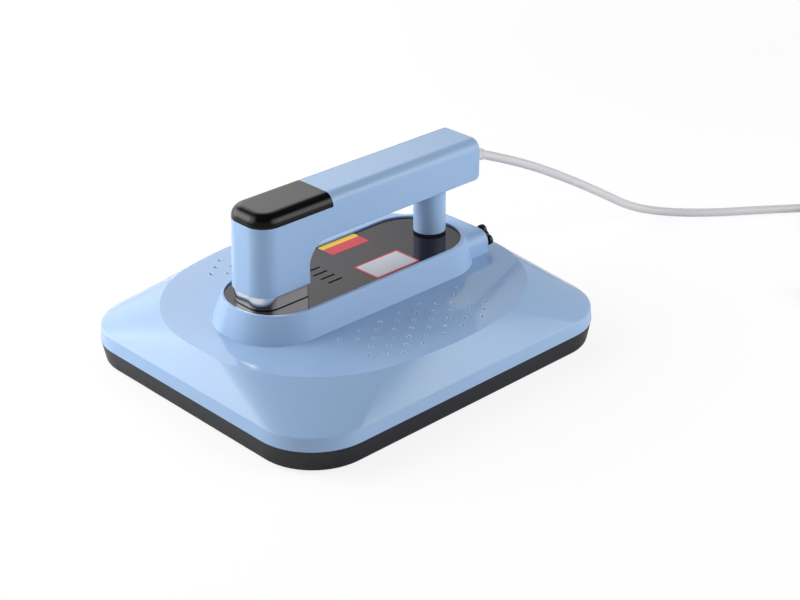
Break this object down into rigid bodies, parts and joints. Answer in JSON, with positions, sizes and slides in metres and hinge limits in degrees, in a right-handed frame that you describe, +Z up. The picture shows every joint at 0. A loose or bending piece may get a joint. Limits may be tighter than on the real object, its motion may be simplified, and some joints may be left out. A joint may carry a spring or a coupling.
{
  "type": "handheld flat heat press",
  "caption": "Handheld flat heat press: rectangular heated plate under a domed cover, bar handle on a front column and rear post, display cap, rear knob and supply cord.",
  "frame": {"origin": "centre of the heating plate's lower face, which the press rests on", "axes": "+Z up, +X towards the rear where the cord leaves the handle, +Y to the press's left seen from the front"},
  "size_m": [0.7641, 0.41, 0.162],
  "materials": {
    "shell_blue": "gloss moulded ABS",
    "skirt_plastic": "satin moulded plastic",
    "deck_panel": "gloss dark panel",
    "cap_black": "gloss black",
    "collar_chrome": "polished and plated",
    "plate_metal": "machined casting",
    "element_sheath": "drawn tube",
    "blanket_fibre": "needled fibre",
    "sheet_steel": "zinc-plated sheet",
    "screw_steel": "zinc-plated",
    "ceramic_white": "glazed ceramic",
    "board_green": "solder mask",
    "component_black": "moulded case",
    "component_blue": "moulded case",
    "component_tin": "drawn can",
    "wire_red": "silicone sleeve",
    "knob_black": "satin moulded plastic",
    "insert_brass": "turned",
    "pad_rubber": "moulded",
    "cord_grey": "soft satin vinyl"
  },
  "bodies": {
    "press": {"heating_plate": "plate_metal", "heating_element": "element_sheath", "element_terminals": "screw_steel", "insulation_blanket": "blanket_fibre", "heat_shield": "sheet_steel", "standoffs": "screw_steel", "temperature_sensor": "screw_steel", "thermal_cutoff": "ceramic_white", "mounting_frame": "sheet_steel", "base_skirt": "skirt_plastic", "top_cover": "shell_blue", "deck_plate": "deck_panel", "handle_shell": "shell_blue", "handle_underside": "shell_blue", "display_cap": "cap_black", "collar_ring": "collar_chrome", "rear_post": "shell_blue", "post_seat": "pad_rubber", "tie_bolt": "screw_steel", "lock_nut": "screw_steel", "column_bracket": "sheet_steel", "display_board": "board_green", "display_module": "component_black", "touch_key_springs": "screw_steel", "control_board": "board_green", "relay": "component_blue", "power_module": "component_black", "capacitors": "component_tin", "buzzer": "component_black", "wiring": "wire_red", "thread_insert": "insert_brass", "strain_relief": "cord_grey", "cord": "cord_grey", "cord_end": "cord_grey", "cord_coil": "cord_grey", "plug_body": "cord_grey", "plug_pins": "insert_brass", "skirt_screws": "screw_steel", "plate_screws": "screw_steel", "cover_screws": "screw_steel", "bracket_foot_screws": "screw_steel", "column_screws": "screw_steel", "underside_screws": "screw_steel"},
    "pad_slide": {"pressure_pad": "pad_rubber"},
    "knob": {"rear_knob": "knob_black", "knob_stud": "screw_steel"}
  },
  "joints": [
    {"name": "knob_travel", "type": "slide", "parent": "press", "child": "pad_slide", "axis": [1, 0, 0], "range_m": [0, 0.002]},
    {"name": "knob_turn", "type": "hinge", "parent": "pad_slide", "child": "knob", "pos_m": [0.1395, -0.0265, 0.0678], "axis": [1, 0, 0], "range_deg": [0, 720]}
  ],
  "couplings": [
    {"joint": "knob_turn", "follows": "knob_travel", "rad_per_m": 6283.2}
  ]
}
